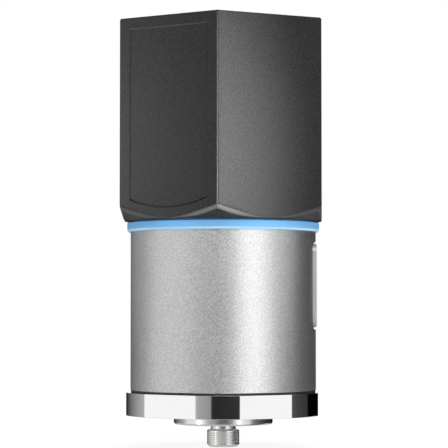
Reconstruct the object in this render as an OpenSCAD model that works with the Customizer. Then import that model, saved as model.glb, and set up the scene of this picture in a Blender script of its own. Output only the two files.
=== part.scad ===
// Wireless vibration sensor on a threaded stud, in millimetres.
// From below: stud with its seat disc, hexagonal base, gasket, sleeve, seal ring, hexagonal cover.
// The origin is the centre of the seat face. +Z runs up the axis, and a corner of each hexagon
// points to -Y. The cover screws on to the sleeve's neck and comes off to change the cell.

/* [Mounting stud] */
// Diameter over the crests of the stud's thread
stud_d = 8; // [6:0.5:10]
// How far the stud stands out below the seat face
stud_reach = 5.6; // [4.6:0.1:12]
// Pitch of the stud's thread
stud_pitch = 1; // [0.75:0.05:1.25]
// Depth of the stud's thread
stud_thread_depth = 0.35; // [0.2:0.05:0.5]
// Depth of the relief groove under the seat, measured on the radius
stud_relief = 0.9; // [0.4:0.1:1.2]
// Length of the relief groove
stud_neck_l = 1.6; // [0.8:0.1:2]
// Chamfer on the stud's tip
stud_tip = 0.6; // [0.3:0.1:0.9]
// Diameter of the shank that screws into the base
stud_shank_d = 7; // [5:0.1:7.6]
// Length of the shank that screws into the base
stud_shank_l = 8; // [5:0.5:9]
// Width across flats of the hexagon socket in the tip
socket_af = 3; // [2:0.5:4]
// Depth of the hexagon socket
socket_l = 3; // [2:0.5:4]
// Diameter of the seat disc
seat_d = 24.5; // [18:0.5:32]
// Thickness of the seat disc
seat_h = 2.3; // [1.6:0.1:4]
// Radial room round the stud in the recess of the seat face
recess_room = 0.5; // [0.2:0.1:1.5]
// Depth of the recess in the seat face
recess_h = 0.3; // [0.2:0.05:0.5]
// Rounding of the seat disc's lower edge
seat_round = 0.7; // [0.3:0.1:1.2]

/* [Base flange] */
// How far the base's flats stand out beyond the sleeve
base_proud = 0.5; // [0.2:0.1:3]
// How far the base's turned corners stand out beyond its flats
base_corner = 1.1; // [0.5:0.1:2.5]
// Height of the hexagonal flange
base_h = 5.6; // [4:0.1:10]
// Chamfer on the flange's edges
base_edge = 0.25; // [0.1:0.05:0.5]
// Height of the spigot that enters the sleeve
spigot_h = 5; // [4.4:0.1:9]
// Radial gap of the spigot in the sleeve
spigot_gap = 0.15; // [0.05:0.05:0.3]

/* [Seals] */
// Thickness of the gasket under the sleeve
gasket_h = 0.5; // [0.3:0.05:1]
// How far the gasket lies back from the sleeve's outer wall
gasket_inset = 0.6; // [0.3:0.1:1.2]
// Cord diameter of the ring that seals the base
base_cord = 1.6; // [1.2:0.1:1.8]
// Cord diameter of the ring that seals the cover
cover_cord = 1.4; // [1:0.1:1.6]
// How far the seal ring stands out beyond the sleeve
ring_proud = 0.85; // [0.3:0.05:1.2]
// Height of the seal ring
ring_h = 2.4; // [1.6:0.1:4]
// Rounding of the seal ring's outer edges
ring_round = 0.5; // [0.2:0.1:0.7]

/* [Body sleeve] */
// Outer diameter of the sleeve
sleeve_d = 46; // [42:0.5:56]
// Wall of the sleeve
sleeve_wall = 3; // [2:0.1:4]
// Height of the sleeve up to its shoulder
sleeve_h = 39.2; // [34:0.1:60]
// Chamfer on the sleeve's outer edges
sleeve_edge = 0.25; // [0.1:0.05:0.5]
// Thickness of the roof under the shoulder
roof_h = 3.5; // [2.5:0.1:6]
// Width of the shoulder that carries the seal ring
shoulder_w = 2.5; // [2:0.1:4]
// Height of the threaded neck
neck_h = 11; // [10:0.1:16]
// Wall of the neck inside its thread
neck_wall = 3.9; // [3.4:0.1:5]
// Pitch of the cover's thread
thread_pitch = 2; // [1.5:0.1:2.2]
// Turns of thread on the neck
thread_turns = 3; // [2:1:3]
// Depth of the cover's thread
thread_depth = 0.6; // [0.3:0.05:0.9]
// Radial gap between the neck and the cover
thread_gap = 0.15; // [0.1:0.05:0.3]

/* [Antenna cover] */
// Wall of the cover round its thread, at the middle of a face
cover_skirt = 3.85; // [3:0.05:6]
// Height of the cover
cover_h = 49; // [43:0.5:70]
// Wall of the cover above its thread
cover_wall = 2.6; // [2:0.1:3.5]
// Rounding of the cover's upright edges
cover_corner = 0.6; // [0.3:0.1:2]
// Chamfer along the cover's top edges
cover_top_edge = 0.4; // [0.2:0.1:1]
// How far the cover's foot stands out beyond the seal ring
cover_foot = 0.5; // [0:0.05:0.6]
// Slope of the conical foot, in degrees
cover_cone = 33; // [20:1:40]
// Gap of the sunk panel to the upright edges of its face
panel_margin = 2.9; // [2:0.1:6]
// Gap of the sunk panel to the top of the cover
panel_top = 2.7; // [1.5:0.1:8]
// Gap of the sunk panel's lowest point to the foot of the cover
panel_foot = 2.85; // [1.8:0.05:8]
// Rise of the panel's arched lower edge at its ends
panel_sag = 1.93; // [1:0.01:4]
// Depth of the sunk panel
panel_depth = 0.5; // [0.2:0.1:1]

/* [Nameplate] */
// Width of the plate
plate_w = 9.4; // [7:0.1:10]
// Height of the plate
plate_l = 20.5; // [14:0.1:24]
// Thickness of the plate
plate_t = 0.7; // [0.4:0.1:1]
// Corner radius of the plate
plate_corner = 2; // [0.5:0.1:3]
// Thickness of the adhesive tape under the plate
tape_t = 0.2; // [0.1:0.05:0.3]
// Depth of the milled flat below the sleeve's surface
flat_depth = 0.7; // [0.5:0.05:1.2]
// Room beside the plate on the flat
flat_side = 1.2; // [0.5:0.1:2]
// Room above and below the plate on the flat
flat_end = 0.6; // [0.3:0.1:1.5]
// Gap of the plate's top to the shoulder
plate_drop = 3.2; // [2:0.1:6]

/* [Carrier] */
// Thickness of the carrier's flange on the neck
carrier_flange_h = 2.4; // [1.8:0.1:4]
// How far the flange stays inside the neck's crests
carrier_inset = 0.3; // [0.2:0.1:1]
// Offset of the cell's cup towards -Y
cup_offset = 4; // [3:0.1:5]
// Wall of the cup
cup_wall = 1.4; // [1:0.1:1.8]
// Floor of the cup
cup_floor = 1.2; // [0.8:0.1:2]
// How far the cup's rim stands above the flange
cup_rise = 2; // [1:0.1:4]
// Room between the cup and the pickup below it
cup_clear = 1.3; // [1:0.1:3]
// Width of a board post
post_w = 4; // [3.4:0.1:4.6]
// Depth of a board post
post_l = 3.6; // [3:0.1:4]

/* [Battery] */
// Diameter of the cell
cell_d = 14.5; // [13:0.1:16]
// Length of the cell without its pole
cell_l = 49.2; // [44:0.1:53]
// Diameter of the pole
pole_d = 5.2; // [4:0.1:6]
// Height of the pole
pole_h = 1.3; // [0.8:0.1:2]
// Radial gap of the cell in the cup
cell_gap = 0.25; // [0.15:0.05:0.4]
// Height of the spring under the cell
spring_h = 2.4; // [2.2:0.1:4]
// Wire diameter of the spring
spring_wire = 0.5; // [0.3:0.1:0.6]
// Turns of the spring
spring_turns = 2.5; // [2:0.5:3]
// Radius of the spring's widest turn
spring_r = 5.4; // [5:0.1:6]
// Radius of the spring's smallest turn
spring_tip_r = 2.6; // [2:0.1:3]
// Width of the pole's contact arm
contact_w = 5; // [3:0.1:6]
// Thickness of the contact arm
contact_t = 0.4; // [0.2:0.1:0.6]
// Height of the contact's foot on the board
contact_foot = 6; // [4:0.1:8]
// Width of the strip that leads from the spring to the board
strip_w = 3; // [2:0.1:4]
// Thickness of the strip
strip_t = 0.3; // [0.2:0.05:0.5]

/* [Main board] */
// Distance of the board's front face from the axis
board_offset = 7.2; // [6.6:0.1:8]
// Thickness of the board
board_t = 1.6; // [1:0.1:2]
// Gap of the board's upright edges to the rim of the carrier
board_rim_gap = 1.9; // [1:0.1:3]
// Gap of the board screws to the edges of the board
board_screw_edge = 3.5; // [3:0.1:4]
// Height of the lower board screws above the board's foot
board_screw_low = 5.6; // [4:0.1:6]
// Drop of the upper board screws below the board's top
board_screw_top = 6.4; // [5:0.1:7]
// Side of the radio module
radio_side = 14; // [12:0.1:14.5]
// Thickness of the radio module's own board
radio_t = 0.8; // [0.6:0.1:1.2]
// How far the radio's shield stays inside its board
shield_inset = 1.25; // [0.8:0.05:2]
// Height of the radio's shield
shield_h = 2; // [1.5:0.1:3]
// Side of the microcontroller
chip_side = 6; // [4:0.1:6.4]
// Height of the microcontroller
chip_h = 0.9; // [0.6:0.1:1.4]
// Diameter of the storage capacitor
store_d = 6.3; // [5:0.1:7]
// Length of the storage capacitor
store_l = 11; // [8:0.1:12]
// Length of a small board part
small_l = 1.6; // [1:0.1:1.7]
// Width and height of a small board part
small_w = 0.8; // [0.5:0.1:1]
// Reach of the antenna's strip behind the board
antenna_l = 5; // [3:0.1:6]
// Rise of the antenna's strip above the board
antenna_rise = 2; // [1:0.1:3]
// Thickness of the antenna's strip
antenna_t = 0.4; // [0.2:0.1:0.6]
// Width of the antenna's legs
antenna_leg_w = 2; // [1:0.1:2.5]
// Length of the antenna's legs on the board
antenna_leg_l = 4; // [3:0.1:5]
// Gap of the antenna to the cover's roof
antenna_clear = 1.4; // [1:0.1:3]

/* [Pickup and cable] */
// Diameter of the sensor board
sensor_board_d = 28; // [26:0.5:32]
// Thickness of the sensor board
sensor_board_t = 1.2; // [0.8:0.1:1.6]
// Side of the accelerometer
pickup_side = 6; // [4:0.1:8]
// Height of the accelerometer
pickup_h = 2; // [1:0.1:3]
// Width of a cable connector
plug_w = 8; // [7:0.1:9]
// Depth of a cable connector
plug_l = 3.8; // [3:0.1:4.2]
// Height of a cable connector
plug_h = 4; // [3:0.1:5]
// Width of the flat cable
cable_w = 6; // [4:0.1:6.5]
// Thickness of the flat cable
cable_t = 0.3; // [0.2:0.05:0.5]
// How far the cable bows out between its connectors
cable_bow = 1.5; // [0.5:0.1:2]

/* [Small screws] */
// Diameter of the screws
screw_d = 2; // [1.6:0.1:2.2]
// Diameter of the screw heads
screw_head_d = 3.8; // [3:0.1:3.8]
// Height of the screw heads
screw_head_h = 1.3; // [1:0.1:1.6]
// Length of thread in the piece that holds a screw
screw_grip = 3; // [2:0.1:3.2]
// Radial gap of a screw in a hole it passes through
screw_pass_gap = 0.1; // [0.05:0.05:0.2]
// Radial gap of a screw in the hole that holds it
screw_tap_gap = 0.02; // [0.01:0.01:0.05]

/* [Hidden] */
$fn = 96;
// Overshoot of a cut past the face it opens
past = 1;

// Heights of the stack
base_z = seat_h;
base_top = base_z + base_h;
spigot_top = base_top + spigot_h;
sleeve_z = base_top + gasket_h;
shoulder_z = sleeve_z + sleeve_h;
neck_top = shoulder_z + neck_h;
cover_z = shoulder_z + ring_h;
cover_top = cover_z + cover_h;
roof_z = cover_top - cover_wall;

// Radii of the stack
stud_r = stud_d / 2;
shank_r = stud_shank_d / 2;
stud_hole_gap = 0.05;
stud_hole_end = 0.4;
base_apothem = sleeve_d / 2 + base_proud;
base_r = base_apothem + base_corner;
sleeve_r = sleeve_d / 2;
bore_r = sleeve_r - sleeve_wall;
spigot_r = bore_r - spigot_gap;
neck_r = sleeve_r - shoulder_w;
neck_core_r = neck_r - thread_depth;
neck_bore_r = neck_core_r - neck_wall;
cover_bore_r = neck_r + thread_gap;
cover_apothem = cover_bore_r + cover_skirt;
cover_r = cover_apothem / cos(30);
ring_r = sleeve_r + ring_proud;
foot_r = ring_r + cover_foot;

// Seal grooves
groove_gap = 0.1;
base_groove_land = 1.2;
cover_groove_land = 0.9;
base_groove_w = base_cord + 2 * groove_gap;
base_groove_z = sleeve_z + base_groove_land;
base_cord_r = bore_r - groove_gap / 2 - base_cord / 2;
cover_groove_w = cover_cord + 2 * groove_gap;
cover_groove_z = cover_z + cover_groove_land;
cover_cord_r = neck_r + groove_gap + cover_cord / 2;

// Threads of the neck and the cover
crest_share = 0.25;
thread_start = neck_top - thread_turns * thread_pitch;
mouth_chamfer = 0.5;
bore_above_neck = 1;
bore_top = neck_top + bore_above_neck;

// Nameplate on its flat, which faces +X
flat_x = sleeve_r - flat_depth;
plate_top = shoulder_z - plate_drop;
plate_mid = plate_top - plate_l / 2;

// Carrier on the neck, with the cell's cup below it and the board above it
carrier_r = neck_r - carrier_inset;
carrier_top = neck_top + carrier_flange_h;
sensor_board_top = spigot_top + sensor_board_t;
pickup_top = sensor_board_top + pickup_h;
cup_z = pickup_top + cup_clear;
cup_bore_r = cell_d / 2 + cell_gap;
cup_r = cup_bore_r + cup_wall;
cup_base = cup_z + cup_floor;
cell_z = cup_base + spring_h;
cell_top = cell_z + cell_l;
pole_top = cell_top + pole_h;
board_back = board_offset + board_t;
board_z = carrier_top;
board_top = roof_z - antenna_clear - antenna_rise;
board_half = sqrt(pow(carrier_r - board_rim_gap, 2) - pow(board_back, 2));
post_x = board_half - board_screw_edge;
screw_heights = [board_z + board_screw_low, board_top - board_screw_top];
post_above_screw = 4;
post_top = screw_heights[1] + post_above_screw;
carrier_screw_r = neck_bore_r + neck_wall / 2;
carrier_screw_angles = [90, 210, 330];
sensor_screw_edge = 2.5;
sensor_screw_r = sensor_board_d / 2 - sensor_screw_edge;
sensor_screw_angles = [30, 150, 270];
// The cable's middle plane, and the slot for it in the carrier
cable_y = board_back + plug_l / 2;
slot_gap = 0.4;
plug_rise = 1.6;
upper_plug_z = board_z + plug_rise;
lower_plug_top = sensor_board_top + plug_h;
// Places of the parts on the board, between the columns and rows of its screws
part_gap = 0.3;
board_mid = (screw_heights[0] + screw_heights[1]) / 2;
store_r = store_d / 2;
store_x = post_x - screw_head_d / 2 - part_gap - store_r;
store_y = board_back + store_r;
store_z = board_mid - store_l / 2;
radio_x = store_x - store_r - part_gap - radio_side;
radio_z = board_mid - radio_side / 2;
chip_from_contact = 1.1;
chip_below_screw = 7.6;
chip_x = contact_w / 2 + chip_from_contact;
chip_z = screw_heights[1] - chip_below_screw;
small_columns = 3;
small_rows = 3;
small_step = 2.4;
small_from_post = 0.8;
small_below_screw = 6.6;
small_x = -post_x + post_w / 2 + small_from_post;
small_z = screw_heights[1] - small_below_screw;
antenna_rim_gap = 0.6;
antenna_y = board_back + antenna_l;
antenna_half = sqrt(pow(carrier_r - antenna_rim_gap, 2) - pow(antenna_y, 2));
antenna_top = board_top + antenna_rise;
// Hexagon recess in a screw head
drive_af = 1.5;
drive_l = 0.8;

// Centre line of the spring, a helix that narrows towards the cell
rings_per_turn = 8;
spring_rings = spring_turns * rings_per_turn;
spring_sides = 6;
spring_climb = spring_h - spring_wire;
spring_points = [for (i = [0 : spring_rings]) spring_point(i / spring_rings)];
spring_gaps = [
    for (i = [0 : spring_rings])
        for (j = [i + rings_per_turn / 2 : 1 : spring_rings])
            norm(spring_points[i] - spring_points[j]) - spring_wire
];
echo(spring_least_gap = min(spring_gaps));

function spring_point(share) =
    let (radius = spring_r + (spring_tip_r - spring_r) * share)
    let (angle = 360 * spring_turns * share)
    let (height = cup_base + spring_wire / 2 + spring_climb * share)
    [radius * cos(angle), -cup_offset + radius * sin(angle), height];

function around(radius, angle, height) = [radius * cos(angle), radius * sin(angle), height];

// Corner centres and tangent points of a hexagon whose corners are rounded
function hexagon_corner(apothem, rounding, i) =
    (apothem - rounding) / cos(30) * [cos(30 + 60 * i), sin(30 + 60 * i)];
function hexagon_tangent(apothem, rounding, i, side) =
    hexagon_corner(apothem, rounding, i) + rounding * [cos(60 * (i + side)), sin(60 * (i + side))];

// One tooth of a thread's outline, from the core out to the crest and back
function tooth(core, crest, z, pitch) =
    let (slope = pitch * (1 - 2 * crest_share) / 2)
    let (land = pitch * crest_share)
    [[core, z], [crest, z + slope], [crest, z + slope + land], [core, z + 2 * slope + land]];

function teeth(core, crest, z, pitch, turns) =
    [for (i = [0 : turns - 1]) each tooth(core, crest, z + i * pitch, pitch)];

module turned(outline) {
    rotate_extrude() polygon(outline);
}

module block(low, high) {
    translate(low) cube(high - low);
}

module rounded_hexagon(apothem, rounding) {
    polygon([
        for (i = [0 : 5])
            for (side = [0, 1])
                hexagon_tangent(apothem, rounding, i, side)
    ]);
    for (i = [0 : 5]) {
        translate(hexagon_corner(apothem, rounding, i)) circle(r = rounding);
    }
}

// A flat outline with round corners, standing on the YZ plane and growing along +X
module plate_along_x(width, height, rounding, thickness) {
    inner_w = width - 2 * rounding;
    inner_h = height - 2 * rounding;
    rotate([90, 0, 90]) linear_extrude(thickness) {
        square([width, inner_h], center = true);
        square([inner_w, height], center = true);
        for (x = [-0.5, 0.5], y = [-0.5, 0.5]) {
            translate([x * inner_w, y * inner_h]) circle(r = rounding);
        }
    }
}

// A screw along +Z with its head's seat at the origin
module screw(reach) {
    difference() {
        union() {
            cylinder(d = screw_head_d, h = screw_head_h);
            translate([0, 0, -reach]) cylinder(d = screw_d, h = reach);
        }
        translate([0, 0, screw_head_h - drive_l])
            cylinder(d = drive_af / cos(30), h = drive_l + past, $fn = 6);
    }
}

module screw_hole(reach, gap) {
    translate([0, 0, -reach]) cylinder(r = screw_d / 2 + gap, h = reach);
}

// Places the children at each board screw, with +Z turned towards +Y
module at_board_screws() {
    for (x = [-post_x, post_x], z = screw_heights) {
        translate([x, board_back, z]) rotate([-90, 0, 0]) children();
    }
}

module seal_cord(radius, cord, z) {
    translate([0, 0, z]) rotate_extrude() translate([radius, 0]) circle(d = cord);
}

module mounting_stud() {
    relief_r = stud_r - stud_relief;
    seat_mid = seat_h / 2;
    root_r = stud_r - stud_thread_depth;
    thread_l = stud_reach - stud_neck_l - stud_tip;
    turns = floor(thread_l / stud_pitch);
    thread_z = -stud_reach + stud_tip + (thread_l - turns * stud_pitch) / 2;
    color("silver") difference() {
        union() {
            turned([
                [0, -stud_reach], [stud_r - stud_tip, -stud_reach], [stud_r, -stud_reach + stud_tip],
                each teeth(stud_r, root_r, thread_z, stud_pitch, turns),
                [stud_r, -stud_neck_l], [relief_r, -stud_neck_l], [relief_r, seat_mid],
                [shank_r, seat_mid], [shank_r, seat_h + stud_shank_l], [0, seat_h + stud_shank_l]
            ]);
            rotate_extrude() seat_outline();
        }
        translate([0, 0, -stud_reach - past])
            cylinder(d = socket_af / cos(30), h = socket_l + past, $fn = 6);
    }
}

module seat_outline() {
    seat_r = seat_d / 2;
    recess_r = stud_r + recess_room;
    translate([recess_r, 0]) square([seat_r - seat_round - recess_r, seat_h]);
    translate([0, recess_h]) square([recess_r, seat_h - recess_h]);
    translate([recess_r, seat_round]) square([seat_r - recess_r, seat_h - seat_round]);
    translate([seat_r - seat_round, seat_round]) circle(r = seat_round);
}

module base_flange() {
    hole_r = shank_r + stud_hole_gap;
    groove_r = base_cord_r - base_cord / 2 - groove_gap / 2;
    color("gainsboro") difference() {
        union() {
            intersection() {
                rotate([0, 0, 30]) translate([0, 0, base_z])
                    cylinder(r = base_apothem / cos(30), h = base_h, $fn = 6);
                turned([
                    [0, base_z], [base_r - base_edge, base_z], [base_r, base_z + base_edge],
                    [base_r, base_top - base_edge], [base_r - base_edge, base_top], [0, base_top]
                ]);
            }
            translate([0, 0, base_z]) cylinder(r = spigot_r, h = base_h + spigot_h);
        }
        translate([0, 0, base_z - past]) cylinder(r = hole_r, h = stud_shank_l + stud_hole_end + past);
        turned([
            [groove_r, base_groove_z], [spigot_r + past, base_groove_z],
            [spigot_r + past, base_groove_z + base_groove_w], [groove_r, base_groove_z + base_groove_w]
        ]);
        for (angle = sensor_screw_angles) {
            translate(around(sensor_screw_r, angle, spigot_top)) screw_hole(screw_grip + past, screw_tap_gap);
        }
    }
}

module base_oring() {
    color("black") seal_cord(base_cord_r, base_cord, base_groove_z + base_groove_w / 2);
}

module base_gasket() {
    color("black") translate([0, 0, base_top]) difference() {
        cylinder(r = sleeve_r - gasket_inset, h = gasket_h);
        translate([0, 0, -past]) cylinder(r = bore_r, h = gasket_h + 2 * past);
    }
}

module body_sleeve() {
    step_z = shoulder_z - roof_h;
    color("darkgray") difference() {
        turned([
            [bore_r, sleeve_z], [sleeve_r - sleeve_edge, sleeve_z], [sleeve_r, sleeve_z + sleeve_edge],
            [sleeve_r, shoulder_z - sleeve_edge], [sleeve_r - sleeve_edge, shoulder_z],
            [neck_r, shoulder_z], [neck_r, thread_start - mouth_chamfer], [neck_core_r, thread_start],
            each teeth(neck_core_r, neck_r, thread_start, thread_pitch, thread_turns),
            [neck_bore_r, neck_top], [neck_bore_r, step_z], [bore_r, step_z]
        ]);
        translate([flat_x, 0, plate_mid])
            plate_along_x(plate_w + 2 * flat_side, plate_l + 2 * flat_end, plate_corner + flat_end,
                flat_depth + past);
        for (angle = carrier_screw_angles) {
            translate(around(carrier_screw_r, angle, neck_top)) screw_hole(screw_grip + past, screw_tap_gap);
        }
    }
}

module nameplate_tape() {
    color("dimgray") translate([flat_x, 0, plate_mid])
        plate_along_x(plate_w, plate_l, plate_corner, tape_t);
}

module nameplate() {
    color("lightgray") translate([flat_x + tape_t, 0, plate_mid])
        plate_along_x(plate_w, plate_l, plate_corner, plate_t);
}

module seal_ring() {
    color("skyblue") translate([0, 0, shoulder_z]) rotate_extrude() ring_outline();
}

module ring_outline() {
    inner_r = cover_bore_r;
    translate([inner_r, 0]) square([ring_r - ring_round - inner_r, ring_h]);
    translate([inner_r, ring_round]) square([ring_r - inner_r, ring_h - 2 * ring_round]);
    for (z = [ring_round, ring_h - ring_round]) {
        translate([ring_r - ring_round, z]) circle(r = ring_round);
    }
}

module cover_oring() {
    color("black") seal_cord(cover_cord_r, cover_cord, cover_groove_z + cover_groove_w / 2);
}

// Outline of the sunk panel: straight top and sides, and a foot arched like the cover's cone
module panel_outline() {
    half_w = cover_r / 2 - panel_margin;
    low = cover_z + panel_foot;
    high = cover_top - panel_top;
    arch_r = (half_w * half_w + panel_sag * panel_sag) / (2 * panel_sag);
    intersection() {
        translate([-half_w, low]) square([2 * half_w, high - low]);
        union() {
            translate([0, low + arch_r]) circle(r = arch_r);
            translate([-half_w, low + panel_sag]) square([2 * half_w, high - low]);
        }
    }
}

module antenna_cover() {
    wide_r = cover_r + past;
    groove_r = cover_cord_r + cover_cord / 2 + groove_gap;
    groove_top = cover_groove_z + cover_groove_w;
    bevel = cover_top_edge * sqrt(2);
    color("dimgray") difference() {
        intersection() {
            translate([0, 0, cover_z]) linear_extrude(cover_h) rounded_hexagon(cover_apothem, cover_corner);
            turned([
                [0, cover_z], [foot_r, cover_z], [wide_r, cover_z + (wide_r - foot_r) * tan(cover_cone)],
                [wide_r, cover_top], [0, cover_top]
            ]);
        }
        for (i = [0 : 5]) {
            rotate([0, 0, 60 * i]) translate([cover_apothem, 0, cover_top]) rotate([0, 45, 0])
                cube([bevel, 2 * cover_r, bevel], center = true);
        }
        translate([0, 0, cover_z - past]) cylinder(r = cover_bore_r, h = bore_top - cover_z + 2 * past);
        translate([0, 0, bore_top]) linear_extrude(roof_z - bore_top)
            rounded_hexagon(cover_apothem - cover_wall, 2 * cover_corner);
        turned([
            [cover_bore_r - past, cover_groove_z], [groove_r, cover_groove_z],
            [groove_r, groove_top], [cover_bore_r - past, groove_top]
        ]);
        turned([
            [cover_bore_r - past, thread_start],
            each teeth(cover_bore_r, cover_bore_r + thread_depth, thread_start, thread_pitch, thread_turns),
            [cover_bore_r - past, neck_top]
        ]);
        rotate([0, 0, 240]) translate([cover_apothem - panel_depth, 0, 0])
            rotate([90, 0, 90]) linear_extrude(panel_depth + past) panel_outline();
    }
}

module carrier() {
    slot_half = plug_w / 2;
    slot_l = plug_l / 2 - slot_gap;
    strip_half = strip_w / 2 + slot_gap;
    strip_y = cup_r - cup_offset;
    color("whitesmoke") difference() {
        union() {
            translate([0, 0, neck_top]) cylinder(r = carrier_r, h = carrier_flange_h);
            translate([0, -cup_offset, cup_z]) cylinder(r = cup_r, h = carrier_top + cup_rise - cup_z);
            for (x = [-post_x, post_x]) {
                block(
                    [x - post_w / 2, board_offset - post_l, neck_top],
                    [x + post_w / 2, board_offset, post_top]
                );
            }
        }
        translate([0, -cup_offset, cup_base]) cylinder(r = cup_bore_r, h = carrier_top + cup_rise);
        translate([0, -cup_offset, cup_z - past]) cylinder(r = spring_tip_r, h = cup_floor + 2 * past);
        block(
            [-slot_half, cable_y - slot_l, neck_top - past],
            [slot_half, cable_y + slot_l, carrier_top + past]
        );
        block(
            [-strip_half, strip_y, neck_top - past],
            [strip_half, strip_y + strip_t + slot_gap, carrier_top + past]
        );
        at_board_screws() screw_hole(board_t + screw_grip, screw_tap_gap);
        for (angle = carrier_screw_angles) {
            translate(around(carrier_screw_r, angle, carrier_top + past))
                screw_hole(carrier_flange_h + 2 * past, screw_pass_gap);
        }
    }
}

module carrier_screws() {
    color("silver") for (angle = carrier_screw_angles) {
        translate(around(carrier_screw_r, angle, carrier_top)) screw(carrier_flange_h + screw_grip);
    }
}

module main_board() {
    color("darkgreen") difference() {
        block([-board_half, board_offset, board_z], [board_half, board_back, board_top]);
        at_board_screws() translate([0, 0, past]) screw_hole(board_t + 2 * past, screw_pass_gap);
    }
}

module board_screws() {
    color("silver") at_board_screws() screw(board_t + screw_grip - screw_pass_gap);
}

module radio_module() {
    color("darkblue") block(
        [radio_x, board_back, radio_z],
        [radio_x + radio_side, board_back + radio_t, radio_z + radio_side]
    );
}

module radio_shield() {
    low = radio_t + board_back;
    inner = radio_side - shield_inset;
    color("silver") block(
        [radio_x + shield_inset, low, radio_z + shield_inset],
        [radio_x + inner, low + shield_h, radio_z + inner]
    );
}

module microcontroller() {
    color("black") block(
        [chip_x, board_offset - chip_h, chip_z],
        [chip_x + chip_side, board_offset, chip_z + chip_side]
    );
}

module board_parts() {
    color("tan") for (i = [0 : small_columns - 1], j = [0 : small_rows - 1]) {
        translate([small_x + i * small_step, board_offset - small_w, small_z + j * small_step])
            cube([small_l, small_w, small_w]);
    }
}

module storage_capacitor() {
    color("navy") translate([store_x, store_y, store_z]) cylinder(r = store_r, h = store_l);
}

module antenna_strip() {
    leg_low = board_top - antenna_leg_l;
    color("gold") {
        block([-antenna_half, board_back, antenna_top - antenna_t], [antenna_half, antenna_y, antenna_top]);
        for (x = [-antenna_half, -antenna_half / 2]) {
            block([x, board_back, leg_low], [x + antenna_leg_w, board_back + antenna_t, antenna_top]);
        }
    }
}

module board_connector() {
    color("ivory") block(
        [-plug_w / 2, board_back, upper_plug_z],
        [plug_w / 2, board_back + plug_l, upper_plug_z + plug_h]
    );
}

module sensor_connector() {
    color("ivory") block(
        [-plug_w / 2, cable_y - plug_l / 2, sensor_board_top],
        [plug_w / 2, cable_y + plug_l / 2, lower_plug_top]
    );
}

// The cable's bow from connector to connector, one full wave of a cosine
function cable_point(share, side) =
    [cable_y + side * cable_t / 2 + cable_bow * (1 - cos(360 * share)) / 2,
        lower_plug_top + share * (upper_plug_z - lower_plug_top)];

module sensor_cable() {
    steps = 24;
    outline = concat(
        [for (i = [0 : steps]) cable_point(i / steps, -1)],
        [for (i = [steps : -1 : 0]) cable_point(i / steps, 1)]
    );
    color("orange") translate([-cable_w / 2, 0, 0]) rotate([90, 0, 90])
        linear_extrude(cable_w) polygon(outline);
}

module sensor_board() {
    color("darkgreen") difference() {
        translate([0, 0, spigot_top]) cylinder(d = sensor_board_d, h = sensor_board_t);
        for (angle = sensor_screw_angles) {
            translate(around(sensor_screw_r, angle, sensor_board_top + past))
                screw_hole(sensor_board_t + 2 * past, screw_pass_gap);
        }
    }
}

module accelerometer() {
    half = pickup_side / 2;
    color("silver") block([-half, -half, sensor_board_top], [half, half, pickup_top]);
}

module sensor_screws() {
    color("silver") for (angle = sensor_screw_angles) {
        translate(around(sensor_screw_r, angle, sensor_board_top)) screw(sensor_board_t + screw_grip);
    }
}

module battery_cell() {
    color("seagreen") translate([0, -cup_offset, cell_z]) {
        cylinder(d = cell_d, h = cell_l);
        cylinder(d = pole_d, h = cell_l + pole_h);
    }
}

// A round wire swept along the spring's centre line
module battery_spring() {
    rings = [
        for (i = [0 : spring_rings])
            let (angle = 360 * spring_turns * i / spring_rings)
            for (k = [0 : spring_sides - 1])
                let (turn = 360 * k / spring_sides)
                let (out = [cos(angle), sin(angle), 0] * cos(turn) + [0, 0, 1] * sin(turn))
                spring_points[i] + out * spring_wire / 2
    ];
    last = spring_rings * spring_sides;
    sides = [
        for (i = [0 : spring_rings - 1], k = [0 : spring_sides - 1])
            let (a = i * spring_sides + k)
            let (b = i * spring_sides + (k + 1) % spring_sides)
            each [[a, a + spring_sides, b], [b, a + spring_sides, b + spring_sides]]
    ];
    ends = [
        for (k = [1 : spring_sides - 2])
            each [[0, k, k + 1], [last, last + k + 1, last + k]]
    ];
    color("silver") polyhedron(rings, concat(sides, ends));
}

module battery_contact() {
    half = contact_w / 2;
    color("gold") {
        block(
            [-half, -cup_offset - half, pole_top],
            [half, board_offset, pole_top + contact_t]
        );
        block(
            [-half, board_offset - contact_t, pole_top],
            [half, board_offset, pole_top + contact_t + contact_foot]
        );
    }
}

module battery_strip() {
    half = strip_w / 2;
    wall_y = cup_r - cup_offset;
    foot_z = carrier_top + cup_rise;
    color("silver") {
        block([-half, -cup_offset, cup_z - strip_t], [half, wall_y + strip_t, cup_z]);
        block([-half, wall_y, cup_z - strip_t], [half, wall_y + strip_t, foot_z]);
        block([-half, wall_y, foot_z], [half, board_offset, foot_z + strip_t]);
    }
}

mounting_stud();
base_flange();
base_oring();
base_gasket();
body_sleeve();
nameplate();
nameplate_tape();
seal_ring();
cover_oring();
antenna_cover();
carrier();
carrier_screws();
main_board();
board_screws();
radio_module();
radio_shield();
microcontroller();
board_parts();
storage_capacitor();
antenna_strip();
board_connector();
sensor_cable();
sensor_connector();
sensor_board();
accelerometer();
sensor_screws();
battery_cell();
battery_spring();
battery_contact();
battery_strip();
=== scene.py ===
from math import acos, asin, atan, atan2, cos, pi, radians, sin, sqrt, tan

import bmesh
import bpy
from mathutils import Matrix, Vector


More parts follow.
